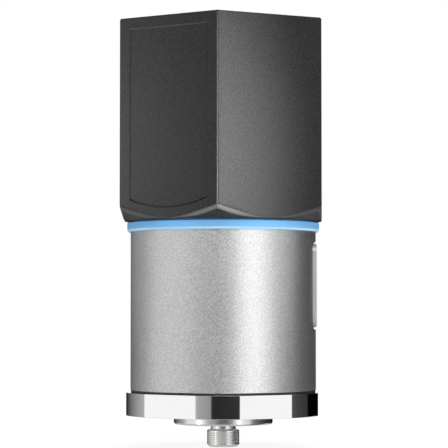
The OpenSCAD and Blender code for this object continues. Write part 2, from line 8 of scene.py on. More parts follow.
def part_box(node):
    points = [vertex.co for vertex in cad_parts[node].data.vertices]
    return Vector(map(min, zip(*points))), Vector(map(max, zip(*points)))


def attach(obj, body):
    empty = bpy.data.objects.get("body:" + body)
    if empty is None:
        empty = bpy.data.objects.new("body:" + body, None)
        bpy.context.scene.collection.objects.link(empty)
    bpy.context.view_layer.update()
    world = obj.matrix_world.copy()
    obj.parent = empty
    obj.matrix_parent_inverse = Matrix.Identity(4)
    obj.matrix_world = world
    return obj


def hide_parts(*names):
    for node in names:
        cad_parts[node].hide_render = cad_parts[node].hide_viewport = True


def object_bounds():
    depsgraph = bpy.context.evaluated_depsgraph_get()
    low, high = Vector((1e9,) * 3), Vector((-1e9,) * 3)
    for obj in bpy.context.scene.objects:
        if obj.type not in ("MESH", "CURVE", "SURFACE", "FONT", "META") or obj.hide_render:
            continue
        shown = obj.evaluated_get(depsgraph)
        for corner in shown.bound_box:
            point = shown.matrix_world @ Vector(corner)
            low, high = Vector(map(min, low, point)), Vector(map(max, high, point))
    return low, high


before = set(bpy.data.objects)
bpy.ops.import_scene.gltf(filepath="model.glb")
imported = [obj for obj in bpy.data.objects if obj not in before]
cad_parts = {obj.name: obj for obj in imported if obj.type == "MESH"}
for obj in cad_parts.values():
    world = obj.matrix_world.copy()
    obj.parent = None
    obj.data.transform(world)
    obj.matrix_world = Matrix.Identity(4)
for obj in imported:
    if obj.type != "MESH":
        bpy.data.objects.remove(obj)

cadBox = [list(corner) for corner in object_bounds()]
mm = 0.001  # the frame is in metres, the sizes below are in millimetres
turn = 2 * pi
sixth = radians(60)  # from one face of a hexagon to the next
joinGap = 0.001 * mm  # points of a solid that are closer are one
cleanGap = 0.0005 * mm  # the same in the meshes made here
print("stage: frame loaded,", len(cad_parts), "nodes")


def added(name, data):
    made = bpy.data.objects.new(name, data)
    bpy.context.scene.collection.objects.link(made)
    return made


def span(node):
    low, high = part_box(node)
    return Vector(low) / mm, Vector(high) / mm


# A dictionary whose values are read by name
class Sizes(dict):
    __getattr__ = dict.__getitem__


# Shader maths on sockets, a plain number can stand on either side
def operator(kind, swapped=False):
    return lambda self, other: self.combine(kind, *((other, self) if swapped else (self, other)))


class Wire:
    def __init__(self, tree, socket):
        self.tree = tree
        self.socket = socket

    def combine(self, operation, first, second):
        node = self.tree.nodes.new("ShaderNodeMath")
        node.operation = operation
        for slot, value in zip(node.inputs, (first, second)):
            if isinstance(value, Wire):
                self.tree.links.new(value.socket, slot)
            else:
                slot.default_value = value
        return Wire(self.tree, node.outputs[0])

    __add__, __radd__ = operator("ADD"), operator("ADD", True)
    __sub__, __rsub__ = operator("SUBTRACT"), operator("SUBTRACT", True)
    __mul__, __rmul__ = operator("MULTIPLY"), operator("MULTIPLY", True)
    __gt__, __lt__ = operator("GREATER_THAN"), operator("LESS_THAN")


# A node tree that is filled one node at a time
class Nodes:
    def __init__(self, tree):
        self.tree = tree
        tree.nodes.clear()

    def add(self, kind, settings=None, inputs=None, out=0):
        node = self.tree.nodes.new("ShaderNode" + kind)
        for key, value in (settings or {}).items():
            setattr(node, key, value)
        self.feed(node, inputs or {})
        return Wire(self.tree, node.outputs[out])

    def feed(self, node, inputs):
        for key, value in inputs.items():
            if isinstance(value, Wire):
                self.tree.links.new(value.socket, node.inputs[key])
            else:
                node.inputs[key].default_value = value

    # colours go through a Mix node, sockets 6 and 7 are its colour pair
    def blend(self, share, first, second):
        pair = [value if isinstance(value, Wire) else (*value, 1) for value in (first, second)]
        return self.add("Mix", {"data_type": "RGBA"}, {0: share, 6: pair[0], 7: pair[1]}, out=2)

    # object coordinates in millimetres, stretched along the axes
    def place(self, stretch=(1, 1, 1)):
        coords = self.add("TexCoord", out="Object")
        scale = [value / mm for value in stretch]
        return self.add("VectorMath", {"operation": "MULTIPLY"}, {0: coords, 1: scale})

    # distance from a point, in millimetres
    def away(self, point=(0, 0, 0), stretch=(1, 1, 1)):
        ends = {0: self.place(stretch), 1: point}
        return self.add("VectorMath", {"operation": "DISTANCE"}, ends, out="Value")

    def grain(self, size, detail=2.0, stretch=(1, 1, 1), rough=0.5):
        inputs = {"Vector": self.place(stretch), "Scale": 1 / size, "Detail": detail, "Roughness": rough}
        return self.add("TexNoise", None, inputs)

    def axis(self, which):
        return self.add("SeparateXYZ", None, {0: self.place()}, out="XYZ".index(which))

    # how far a surface leans down, 1 is straight down
    def lean(self):
        return 0 - self.add("SeparateXYZ", None, {0: self.add("NewGeometry", out="Normal")}, out=2)

    # 0 below the first value, 1 above the second
    def rise(self, value, first, second):
        limits = {"Value": value, "From Min": first, "From Max": second}
        return self.add("MapRange", {"interpolation_type": "SMOOTHSTEP"}, limits)

    def fract(self, value):
        return self.add("Math", {"operation": "FRACT"}, {0: value})

    # a value plus each pattern times its share
    def weigh(self, value, patterns, shares):
        for pattern, share in zip(patterns, shares):
            if share:
                value = value + share * pattern
        return value


class Finish(Nodes):
    def __init__(self, name):
        self.material = bpy.data.materials.new(name)
        self.material.use_nodes = True
        super().__init__(self.material.node_tree)
        self.shader = self.tree.nodes.new("ShaderNodeBsdfPrincipled")
        self.ending = self.tree.nodes.new("ShaderNodeOutputMaterial")
        self.tree.links.new(self.shader.outputs[0], self.ending.inputs["Surface"])

    def surface(self, **inputs):
        self.feed(self.shader, {key.replace("_", " "): value for key, value in inputs.items()})

    def bump(self, height, strength, depth):
        inputs = {"Height": height, "Strength": strength, "Distance": depth * mm}
        self.feed(self.shader, {"Normal": self.add("Bump", None, inputs)})


# Outlines and meshes, in millimetres
def rounded(corners, steps=5):
    points = [Vector(corner[:2]) for corner in corners]
    outline = []
    for i, corner in enumerate(corners):
        if len(corner) < 3 or i in (0, len(corners) - 1):
            outline.append(points[i])
            continue
        back = (points[i - 1] - points[i]).normalized()
        ahead = (points[i + 1] - points[i]).normalized()
        half = back.angle(ahead) / 2
        centre = points[i] + (back + ahead).normalized() * corner[2] / sin(half)
        first = points[i] + back * corner[2] / tan(half) - centre
        last = points[i] + ahead * corner[2] / tan(half) - centre
        sweep = atan2(first.cross(last), first.dot(last))
        outline += [centre + Matrix.Rotation(sweep * k / steps, 2) @ first for k in range(steps + 1)]
    return outline


# Column of points at an angle round an upright axis, from radii and heights
def around(angle, outline, centre=(0, 0)):
    return [(centre[0] + r * cos(angle), centre[1] + r * sin(angle), z) for r, z in outline]


def lathed(outline, count, centre=(0, 0)):
    return [around(turn * i / count, outline, centre) for i in range(count)]


# Angle from the middle of the nearest face of a hexagon
def offFace(angle):
    return (angle + sixth / 2) % sixth - sixth / 2


# Faces between columns of points that go all the way round
def skin(mesh, columns, loop=False, ends=False):
    grid = [[mesh.verts.new([value * mm for value in point]) for point in column] for column in columns]
    count = len(grid[0])
    for left, right in zip(grid, grid[1:] + grid[:1]):
        for i in range(count if loop else count - 1):
            j = (i + 1) % count
            mesh.faces.new((left[i], right[i], right[j], left[j]))
    if ends:
        for i in (0, -1):
            mesh.faces.new([column[i] for column in grid])


# Loop round a box with round corners, drawn in by the inset
def roundBox(low, high, corner, inset, steps, least=0.02):
    bend = max(corner - inset, least)
    points = []
    for side, (u, v) in enumerate(((1, 1), (-1, 1), (-1, -1), (1, -1))):
        edge = Vector((high[0] if u > 0 else low[0], high[1] if v > 0 else low[1]))
        middle = edge - Vector((u, v)) * (inset + bend)
        for k in range(steps + 1):
            angle = radians(90 * (side + k / steps))
            points.append(middle + Vector((cos(angle), sin(angle))) * bend)
    return points


# Such loops stacked along an axis, one for each height and inset
def stacked(low, high, axis, corner, levels, steps=4):
    u, v = (i for i in range(3) if i != axis)
    loops = []
    for height, inset in levels:
        loop = roundBox((low[u], low[v]), (high[u], high[v]), corner, inset, steps)
        loops.append([(*point[:axis], height, *point[axis:]) for point in loop])
    return [list(column) for column in zip(*loops)]


# Strip of sheet along a path in the YZ plane, as wide as the box along X
def bentStrip(path, low, high, thick, edge=0.08):
    centre, wide, half = (low.x + high.x) / 2, (high.x - low.x) / 2, thick / 2
    section = [(side * wide - side * back, up * half - up * (edge - back))
               for side, up in ((-1, 1), (1, 1), (1, -1), (-1, -1))
               for back in ((0, edge) if side * up < 0 else (edge, 0))]
    loops = []
    for i, point in enumerate(path):
        ahead = (path[min(i + 1, len(path) - 1)] - path[max(i - 1, 0)]).normalized()
        loops.append([(centre + x, point.x - ahead.y * h, point.y + ahead.x * h) for x, h in section])
    return [list(column) for column in zip(*loops)]


# Boxes of the separate solids in a node
def solidsOf(node):
    mesh = bmesh.new()
    mesh.from_mesh(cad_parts[node].data)
    bmesh.ops.remove_doubles(mesh, verts=mesh.verts, dist=joinGap)
    left, boxes = set(mesh.verts), []
    while left:
        wave = [left.pop()]
        places = []
        while wave:
            vert = wave.pop()
            places.append(vert.co / mm)
            near = {edge.other_vert(vert) for edge in vert.link_edges} & left
            left -= near
            wave += near
        boxes.append([Vector([pick(place[i] for place in places) for i in range(3)]) for pick in (min, max)])
    mesh.free()
    return sorted(boxes, key=lambda box: [round(value, 2) for value in box[0]])


# Bevelled brick between two values along each axis, in either order
def brick(mesh, x, y, z, bevel, steps=1):
    low, high = (Vector(corner) for corner in zip(*(sorted(ends) for ends in (x, y, z))))
    size = Matrix.Diagonal((*((high - low) * mm), 1))
    middle = Matrix.Translation((low + high) / 2 * mm)
    corners = bmesh.ops.create_cube(mesh, size=1, matrix=middle @ size)["verts"]
    edges = list(dict.fromkeys(edge for vert in corners for edge in vert.link_edges))
    bmesh.ops.bevel(mesh, geom=edges, offset=bevel * mm, segments=steps, affect="EDGES", profile=0.5)


# Ends of a width about its middle
def about(middle, width):
    return middle - width / 2, middle + width / 2


# Places of a row, in even steps about 0
def inRow(count, step):
    return [(i - (count - 1) / 2) * step for i in range(count)]


# Ends a piece: clean mesh, finish, body and the node that it stands for
def piece(name, mesh, finish, slot, *nodes, body="housing", sharp=32):
    bmesh.ops.remove_doubles(mesh, verts=mesh.verts, dist=cleanGap)
    bmesh.ops.dissolve_degenerate(mesh, edges=mesh.edges, dist=cleanGap)
    bmesh.ops.recalc_face_normals(mesh, faces=mesh.faces)
    data = bpy.data.meshes.new(name)
    mesh.to_mesh(data)
    mesh.free()
    for face in data.polygons:
        face.use_smooth = True
    data.set_sharp_from_angle(angle=radians(sharp))
    made = added(name, data)
    data.materials.append(finishes[finish])
    weighted = made.modifiers.new("evenNormals", "WEIGHTED_NORMAL")
    weighted.keep_sharp = True
    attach(made, body)
    if nodes:
        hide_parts(*nodes)


# A piece of one skin
def skinned(name, columns, finish, slot, *nodes, loop=False, ends=False, **more):
    mesh = bmesh.new()
    skin(mesh, columns, loop, ends)
    piece(name, mesh, finish, slot, *nodes, **more)


# Ridge of a thread, from 0 at the root to 1 at the crest, climbing one pitch a turn
def ridge(z, angle, pitch, crest=0.25):
    phase = (z / pitch - angle / turn) % 1
    return max(0.0, min(1.0, (0.5 - abs(phase - 0.5)) / ((1 - 2 * crest) / 2) - crest))


# Heights along a thread, each with how far the thread has grown there and with its ridge
def threadSteps(part, low, high, angle, foot=True):
    for i in range(part.threadRows + 1):
        share = i / part.threadRows
        z = low + (high - low) * share
        grown = min(1.0, part.runIn * (1 - share), part.runIn * share if foot else 1.0)
        yield z, grown, ridge(z, angle, part.pitch)


# A finish of two noise patterns, each given by size in mm, detail, stretch and roughness. Both blend the
# colours and stray the roughness by their shares, and the fine one is the relief, by strength and depth
def finishOf(name, dark, light, rough, fine, cloud=None, start=0.0, mix=(0, 1), stray=(0, 0), relief=(0, 0),
             over=None, duller=None, **constants):
    f = Finish(name)
    patterns = [f.grain(*pattern) for pattern in (fine, cloud) if pattern]
    colour = f.blend(f.weigh(start, patterns, mix), dark, light)
    rough = f.weigh(rough - sum(stray) / 2, patterns, stray)
    if duller:  # below a height, by an amount
        rough = rough + duller[1] * (f.axis("Z") < duller[0])
    f.surface(Base_Color=over(f, colour) if over else colour, Roughness=rough, **constants)
    f.bump(patterns[0], *relief)
    return f.material


# painted highlight: surfaces of the cover that lean down outside its foot, such as the rounding above the
# cone and the top ledge of the panel, get a paler grey, paler still near its front corner
def paintedEdgeHighlights(f, colour):
    look = Sizes(edge=(0.085,) * 3, outside=23.9, leanFrom=(0.12, 0.35), leanTo=(0.68, 0.82),
                 worn=(0.15,) * 3, wornAt=(0, -28, 53), wornReach=(4, 16))
    lean = f.lean()
    outside = f.away(stretch=(1, 1, 0)) > look.outside
    edges = f.rise(lean, *look.leanFrom) * (1 - f.rise(lean, *look.leanTo)) * outside
    # painted highlight, stronger within reach of the front corner
    edge = f.blend(f.rise(f.away(look.wornAt), *look.wornReach), look.worn, look.edge)
    return f.blend(edges, colour, edge)


# painted highlight: the downward-leaning lower lip of the seal ring gets a paler blue
def paintedLipHighlight(f, colour):
    look = Sizes(lip=(0.45, 0.73, 0.93), lean=(0.25, 0.5))
    return f.blend(f.rise(f.lean(), *look.lean), colour, look.lip)


# the lower part of the cell's film
def paleBand(f, colour):
    look = Sizes(top=33, band=(0.55, 0.55, 0.53))
    return f.blend(f.axis("Z") < look.top, colour, look.band)


# Solder mask over copper tracks: straight runs, broken up by cells, with plated holes
def boardLaminate(name, mask, track):
    look = Sizes(cells=(0.16, 0.16, 0.24), runs=0.8, runWide=0.4, holes=(0.45,) * 3, holeWide=0.12,
                 strewn=0.6, ring=(0.5, 0.38, 0.14), rough=0.3, cloud=4, relief=(0.3, 0.03))
    f = Finish(name)
    squares = {"Vector": f.place(look.cells), "Scale": 1.0}
    cells = f.add("TexVoronoi", {"distance": "CHEBYCHEV"}, squares, out="Color")
    pick = f.add("SeparateXYZ", None, {0: cells}, out=0)
    across = f.fract(f.axis("X") * look.runs + f.axis("Y") * look.runs)
    along = f.fract(f.axis("Z") * look.runs)
    runs = (pick > 0.5) * (across < look.runWide) + (pick < 0.5) * (along < look.runWide)
    spots = {"Vector": f.place(look.holes), "Scale": 1.0, "Randomness": look.strewn}
    holes = f.add("TexVoronoi", None, spots) < look.holeWide
    cloud = f.grain(look.cloud, detail=3)
    f.surface(Base_Color=f.blend(holes, f.blend(runs, mask, track), look.ring), Metallic=holes * 0.9,
              Roughness=look.rough + 0.12 * (cloud - 0.5) + 0.06 * runs)
    f.bump(runs + 2 * holes, *look.relief)
    return f.material


def cableFilm():
    look = Sizes(film=(0.42, 0.17, 0.03), lane=(0.62, 0.3, 0.09), lanes=1.25, shift=0.3, rough=0.28,
                 coat=0.3, cloud=2, relief=(0.2, 0.02))
    f = Finish("cableFilm")
    lanes = f.fract(f.axis("X") * look.lanes + look.shift) < 0.5
    cloud = f.grain(look.cloud, detail=3)
    f.surface(Base_Color=f.blend(lanes, look.film, look.lane), Coat_Weight=look.coat,
              Roughness=look.rough + 0.12 * (cloud - 0.5))
    f.bump(lanes + 0.3 * cloud, *look.relief)
    return f.material


blasted = (0.3, 2, (1, 1, 1), 0.6)  # fine pattern of the cover and the sleeve
moulded = Sizes(cloud=(5, 3), stray=(0.14, 0.06), relief=(0.15, 0.02))
plated = Sizes(fine=(0.12,), cloud=(1.2, 3), stray=(0, 0.16), relief=(0.06, 0.01), Metallic=1.0)
film = Sizes(fine=(1.0, 2, (1, 1, 0.15)), cloud=(3, 3), stray=(0.12, 0), relief=(0.12, 0.03), Metallic=0.15)
finishes = {
    # the cover's paler downward edges are a painted highlight
    "cover": finishOf("coverPlastic", (0.009, 0.009, 0.0095), (0.058, 0.058, 0.06), 0.38, blasted, (9, 3),
        start=-0.5, mix=(1.8, 0.2), stray=(0.12, 0.06), relief=(0.5, 0.04), over=paintedEdgeHighlights,
        Specular_IOR_Level=0.12),
    # the seal's paler lip is a painted highlight
    "seal": finishOf("sealBlue", (0.165, 0.45, 0.81), (0.205, 0.5, 0.87), 0.42, (0.25,), (1.6, 3),
        stray=(0, 0.2), relief=(0.12, 0.02), over=paintedLipHighlight, Specular_IOR_Level=0.25),
    "rubber": finishOf("blackRubber", (0.008, 0.008, 0.009), (0.02, 0.02, 0.021), 0.5, (0.2,), (0.8, 3),
        stray=(0, 0.25), relief=(0.15, 0.02)),
    "sleeve": finishOf("blastedAluminium", (0.345, 0.345, 0.35), (0.84, 0.84, 0.845), 0.4, blasted, (12,),
        start=-0.3, mix=(1.6, 0), stray=(0.2, 0.05), relief=(0.5, 0.05), Metallic=1.0),
    "base": finishOf("polishedSteel", (0.87, 0.87, 0.88), (0.95, 0.95, 0.96), 0.08,
        (0.5, 3, (0.05, 0.05, 3)), (6,), mix=(1, 0), stray=(0.08, 0.05), relief=(0.04, 0.01), Metallic=1.0),
    "stud": finishOf("studSteel", (0.7, 0.69, 0.68), (0.88, 0.87, 0.86), 0.25, (0.4, 3, (0.05, 0.05, 4)),
        (1.5, 3), mix=(0.6, 0.4), stray=(0.15, 0.1), relief=(0.08, 0.01), duller=(-0.4, 0.02), Metallic=1.0),
    "plate": finishOf("plateMetal", (0.52, 0.52, 0.5), (0.64, 0.64, 0.62), 0.42, (0.3, 3, (1, 0.05, 3)),
        mix=(1,), stray=(0.18,), relief=(0.08, 0.01), Metallic=0.75),
    "carrier": finishOf("carrierPlastic", (0.56, 0.56, 0.54), (0.66, 0.66, 0.64), 0.45, (0.18,), **moulded),
    "board": boardLaminate("boardLaminate", (0.006, 0.07, 0.03), (0.015, 0.15, 0.065)),
    "module": boardLaminate("moduleLaminate", (0.006, 0.02, 0.09), (0.015, 0.05, 0.2)),
    "tin": finishOf("shieldTin", (0.55, 0.55, 0.53), (0.68, 0.68, 0.66), 0.42, **plated),
    "chip": finishOf("chipEpoxy", (0.012, 0.012, 0.013), (0.022, 0.022, 0.023), 0.5, (0.1,), **moulded),
    "ceramic": finishOf("chipCeramic", (0.28, 0.18, 0.1), (0.38, 0.26, 0.16), 0.4, (0.1,), **moulded),
    "capacitor": finishOf("capacitorWrap", (0.01, 0.014, 0.07), (0.02, 0.028, 0.12), 0.26, **film),
    "gold": finishOf("contactGold", (0.68, 0.46, 0.16), (0.82, 0.6, 0.26), 0.34, **plated),
    "plug": finishOf("connectorPlastic", (0.62, 0.58, 0.46), (0.72, 0.68, 0.56), 0.4, (0.18,), **moulded),
    "cable": cableFilm(),
    "cell": finishOf("cellWrap", (0.01, 0.13, 0.075), (0.016, 0.19, 0.11), 0.26, over=paleBand, **film),
}
print("stage: finishes made,", len(finishes))

# Antenna cover: a hexagon with a conical foot, a sunk panel, a threaded bore and a hexagonal cavity
cover = Sizes(
    corner=0.75, topRound=0.45,       # rounding of the upright edges and of the top edges
    footRadius=24.35, cone=33,        # where the cone starts, and its slope in degrees
    coneRound=1.9, coneSpare=0.25,    # rounding between cone and faces, and what is left where the cone ends
    coneShare=0.55, wallShare=0.62,   # how much of it lies on the cone and on the face
    footRound=0.2, footRise=0.06,
    panelFace=4,                      # counted from +X, anticlockwise
    panelMargin=2.9, panelTop=2.7, panelFoot=2.54, panelSag=2.12, panelDepth=0.3,
    panelSide=0.4, panelLedge=0.3, panelSill=0.42,  # widths of its slanted walls
    panelGroove=0.35, grooveEnds=(0.2, 0.8),  # moulded line along its foot, by shares of the sill
    wall=2.6, cavityRound=0.8, bore=20.65, boreLip=0.3, boreTop=9.6,
    grooveLow=0.9, grooveHigh=2.5, grooveRadius=22.1,  # heights are above the foot
    threadLow=2.6, threadHigh=8.6, threadDepth=0.6, pitch=2.0, threadRows=48,
    runIn=8,                          # full depth is reached after an eighth of the thread's height
    faceSteps=20, cornerSteps=6, coneSteps=6, topSteps=5)


# Points round the cover's hexagon: place, outward normal, face and distance along it
def hexagonSamples(apothem, extra):
    corner, steps, bends = cover.corner, cover.faceSteps, cover.cornerSteps
    half = (apothem - corner) * tan(sixth / 2)
    stops = sorted({round(-half + 2 * half * i / steps, 6) for i in range(steps + 1)} | set(extra))
    samples = []
    for face in range(6):
        out = sixth * face
        normal = Vector((cos(out), sin(out)))
        along = Vector((-normal.y, normal.x))
        samples += [(normal * apothem + along * u, normal, face, u) for u in stops]
        centre = normal * (apothem - corner) + along * half
        for k in range(1, bends):
            angle = out + sixth * k / bends
            bent = Vector((cos(angle), sin(angle)))
            samples.append((centre + bent * corner, bent, None, 0))
    return samples


# Distance from the axis to a rounded hexagon along an angle
def hexagonReach(angle, apothem, corner):
    off = offFace(angle)
    limit = atan((apothem - corner) * tan(sixth / 2) / apothem)
    if abs(off) <= limit:
        return apothem / cos(off)
    centre = (apothem - corner) / cos(sixth / 2)
    away = sixth / 2 - abs(off)
    return centre * cos(away) + sqrt(corner ** 2 - (centre * sin(away)) ** 2)


# Cavity and threaded bore, from the roof down
def coverInside(onRay, angle, inner, foot, roof):
    bore, soft, lip = cover.bore, cover.cavityRound, cover.boreLip
    boreTop = foot + cover.boreTop
    column = [(0, 0, roof), onRay(inner - soft, roof), onRay(inner - soft / 4, roof - soft / 4),
              onRay(inner, roof - soft), onRay(inner, boreTop), onRay(bore, boreTop)]
    thread = list(threadSteps(cover, foot + cover.threadLow, foot + cover.threadHigh, angle))
    column += [onRay(bore + grown * cover.threadDepth * crest, z) for z, grown, crest in reversed(thread)]
    low, high, deep = foot + cover.grooveLow, foot + cover.grooveHigh, cover.grooveRadius
    return column + [onRay(bore, high), onRay(deep, high), onRay(deep, low), onRay(bore, low),
                     onRay(bore, foot + lip), onRay(bore + lip, foot)]


# Foot, cone and the rounding into the face
def coverFoot(onRay, onWall, reach, foot):
    slope = tan(radians(cover.cone))
    start, lowest = min(reach, cover.footRadius), foot + cover.footRise
    edge = foot + max(0.0, reach - cover.footRadius) * slope
    bend = min(cover.coneRound, (edge - foot) / slope + cover.coneSpare)
    back = min(cover.coneShare * bend, max(0.0, reach - start))
    first = onRay(reach - back, max(lowest, edge - back * slope))
    middle = onRay(reach, edge)
    last = onWall(0, edge + cover.wallShare * bend)
    column = [onRay(start - cover.footRound, foot), onRay(start, lowest)]
    for k in range(cover.coneSteps + 1):
        t = k / cover.coneSteps
        column.append(first * (1 - t) ** 2 + middle * 2 * t * (1 - t) + last * t ** 2)
    return column


# Face with the sunk panel, and the top edge
def coverFace(onWall, face, u, halfPanel, foot, top):
    inPanel = face == cover.panelFace and abs(u) < halfPanel - cover.panelSide / 2
    depth = cover.panelDepth if inPanel else 0.0
    groove = depth + (cover.panelGroove if inPanel else 0.0)
    arch = (halfPanel ** 2 + cover.panelSag ** 2) / (2 * cover.panelSag)
    off = halfPanel if face is None else min(abs(u), halfPanel)
    low = foot + cover.panelFoot + arch - sqrt(arch ** 2 - off ** 2)
    high, sill = top - cover.panelTop, cover.panelSill
    column = [onWall(0, low), *(onWall(groove, low + end * sill) for end in cover.grooveEnds),
              onWall(depth, low + sill), onWall(depth, high - cover.panelLedge), onWall(0, high)]
    for k in range(cover.topSteps + 1):
        bend = radians(90 * k / cover.topSteps)
        column.append(onWall(cover.topRound * (1 - cos(bend)), top - cover.topRound * (1 - sin(bend))))
    return column


def makeCover():
    low, high = span("antenna_cover")
    apothem, foot, top = high.x, low.z, high.z
    halfPanel = apothem / cos(sixth / 2) / 2 - cover.panelMargin
    panelEdges = [side * (halfPanel - back) for side in (-1, 1) for back in (0, cover.panelSide)]
    columns = []
    for place, normal, face, u in hexagonSamples(apothem, panelEdges):
        angle = atan2(place.y, place.x)
        ray = place.normalized()

        def onRay(radius, z):
            return Vector((ray.x * radius, ray.y * radius, z))

        def onWall(inset, z):
            return Vector((place.x - normal.x * inset, place.y - normal.y * inset, z))

        inner = hexagonReach(angle, apothem - cover.wall, 2 * cover.corner)
        columns.append(coverInside(onRay, angle, inner, foot, top - cover.wall)
                       + coverFoot(onRay, onWall, place.length, foot)
                       + coverFace(onWall, face, u, halfPanel, foot, top) + [(0, 0, top)])
    skinned("coverShell", columns, "cover", "cover_plastic", "antenna_cover", body="cover", sharp=28)


makeCover()
print("stage: cover made")

# Seal ring: a moulded band with a step under the cover and a slanted lower lip
ring = Sizes(lip=0.4, lipBack=0.3, lipRound=0.15, droop=0.2, step=0.42, stepBack=1.3, soft=0.06,
             inside=1.45, turns=160)


def makeSealRing():
    low, high = span("seal_ring")
    inner = span("cover_oring")[1].x - ring.inside
    outer, soft = high.x, ring.soft
    waist, step = high.z - ring.step, outer - ring.stepBack
    rest = span("body_sleeve")[1].y + soft  # outside the sleeve the lip hangs a little below its shoulder
    outline = rounded([(inner, low.z), (rest, low.z), (outer - ring.lipBack, low.z - ring.droop, soft),
                       (outer, low.z + ring.lip, ring.lipRound), (outer, waist, soft),
                       (step, waist, soft), (step, high.z), (inner, high.z)])
    columns = lathed(outline, ring.turns)
    skinned("sealBand", columns, "seal", "seal_blue", "seal_ring", body="seal", loop=True)


makeSealRing()

# Body sleeve: turned tube with a milled flat for the plate and a threaded neck
sleeve = Sizes(
    edge=0.12, topEdge=0.06, bore=20.0, roof=3.5, neck=20.5, neckBore=16.0, neckLip=0.3,
    flatX=22.3, flatSide=5.9, flatEnd=0.6, flatCorner=2.6, flatSteps=14,
    threadRise=6.0, threadDepth=0.6, pitch=2.0, runIn=8, threadRows=48, turns=192,
    threadGap=0.5)  # plain neck under the thread


def makeSleeve():
    low, high = span("body_sleeve")
    plateLow, plateHigh = span("nameplate")
    radius, foot, rim = high.y, low.z, high.z
    shoulder = span("seal_ring")[0].z
    roof, threadLow = shoulder - sleeve.roof, rim - sleeve.threadRise
    flatLow, flatHigh = plateLow.z - sleeve.flatEnd, plateHigh.z + sleeve.flatEnd
    runOut = sqrt(radius ** 2 - sleeve.flatX ** 2)
    edgeAngle = asin(runOut / radius)
    steps, turns = sleeve.flatSteps, sleeve.turns
    angles = [edgeAngle * i / steps for i in range(-steps, steps + 1)]
    angles += [edgeAngle + (turn - 2 * edgeAngle) * i / turns for i in range(1, turns)]
    bore, neck, neckBore, lip = sleeve.bore, sleeve.neck, sleeve.neckBore, sleeve.neckLip
    edge, topEdge, corner = sleeve.edge, sleeve.topEdge, sleeve.flatCorner
    bends = [radians(30 * k) for k in range(4)]
    columns = []
    for angle in angles:
        across = abs(radius * sin(angle)) if cos(angle) > 0 else radius
        drop, sunk = corner, radius
        if across < runOut * 0.999:  # on the flat, short of where it runs out
            over = max(0.0, across - (sleeve.flatSide - corner))
            drop = corner - sqrt(max(0.0, corner ** 2 - over ** 2))
            sunk = sleeve.flatX / cos(angle)
        flatFoot, flatTop = flatLow + drop, flatHigh - drop
        column = [(bore, foot), (radius - edge, foot)]
        column += [(radius - edge * (1 - sin(t)), foot + edge * (1 - cos(t))) for t in bends[1:]]
        column += [(radius, flatFoot), (sunk, flatFoot), (sunk, flatTop), (radius, flatTop)]
        column += [(radius - topEdge * (1 - cos(t)), shoulder - topEdge * (1 - sin(t))) for t in bends]
        column += [(neck, shoulder), (neck, threadLow - sleeve.threadGap)]
        column += [(neck - sleeve.threadDepth * (1 - grown * crest), z)
                   for z, grown, crest in threadSteps(sleeve, threadLow, rim, angle, foot=False)]
        column += [(neckBore + lip, rim), (neckBore, rim - lip), (neckBore, roof), (bore, roof)]
        columns.append(around(angle, column))
    skinned("sleeveBody", columns, "sleeve", "blasted_aluminium", "body_sleeve", loop=True, sharp=30)


makeSleeve()

# Base: hexagonal flange with turned corners, and the spigot inside the sleeve
base = Sizes(corner=24.45, edge=0.08, topEdge=0.02, edgeSteps=4, spigot=19.85, spigotEdge=0.4,
             grooveLow=1.7, grooveHigh=3.5, grooveDepth=1.6, hole=3.55, holeTop=8.4, flatSteps=12,
             arcSteps=10)


def makeBase():
    low, high = span("base_flange")
    apothem, foot, rim = high.x, low.z, high.z
    top = span("base_gasket")[0].z
    half = acos(apothem / base.corner)
    flats, arcs = base.flatSteps, base.arcSteps
    angles = []
    for face in range(6):
        out = sixth * face
        angles += [out - half + 2 * half * i / flats for i in range(flats + 1)]
        angles += [out + half + (sixth - 2 * half) * i / arcs for i in range(1, arcs)]
    spigot, edge, hole = base.spigot, base.spigotEdge, base.hole
    groove, grooveLow, grooveHigh = spigot - base.grooveDepth, top + base.grooveLow, top + base.grooveHigh
    columns = []
    for angle in angles:
        reach = min(base.corner, apothem / cos(offFace(angle)))
        column = [(0, rim), (spigot - edge, rim), (spigot, rim - edge), (spigot, grooveHigh),
                  (groove, grooveHigh), (groove, grooveLow), (spigot, grooveLow)]
        column += rounded([(spigot, top), (reach, top, base.topEdge), (reach, foot, base.edge),
                           (hole, foot)], base.edgeSteps)
        column += [(hole, foot + base.holeTop), (0, foot + base.holeTop)]
        columns.append(around(angle, column))
    skinned("baseFlange", columns, "base", "polished_steel", "base_flange", sharp=24)


makeBase()

# Gasket: a thin rubber ring between sleeve and base, its rim bulging out to the sleeve's face
gasket = Sizes(reach=22.9, bulge=0.2, turns=160)


def makeGasket():
    low, high = span("base_gasket")
    rim, bulge = gasket.reach, gasket.bulge
    outline = rounded([(sleeve.bore, low.z), (rim, low.z, bulge), (rim, high.z, bulge),
                       (sleeve.bore, high.z)])
    skinned("gasketRing", lathed(outline, gasket.turns), "rubber", "black_rubber", "base_gasket", loop=True)


makeGasket()

# Stud: tip with a hexagon socket, helical thread, relief neck, seat disc and shank
stud = Sizes(radius=4.0, tip=0.6, pitch=0.5, depth=0.05, runIn=10, threadRows=84, socket=1.5,
             socketDepth=3.0, socketPoint=0.4, socketLead=0.2, socketFlare=1.22, threadEdge=(0.2, 0.15),
             neck=3.1, neckRise=1.6, neckFoot=0.2, neckRounds=(0.25, 0.2), seatRound=0.45,
             seatTopRound=0.15, recess=4.5, recessDepth=0.3, shank=3.5, shankRound=0.4, turns=144)


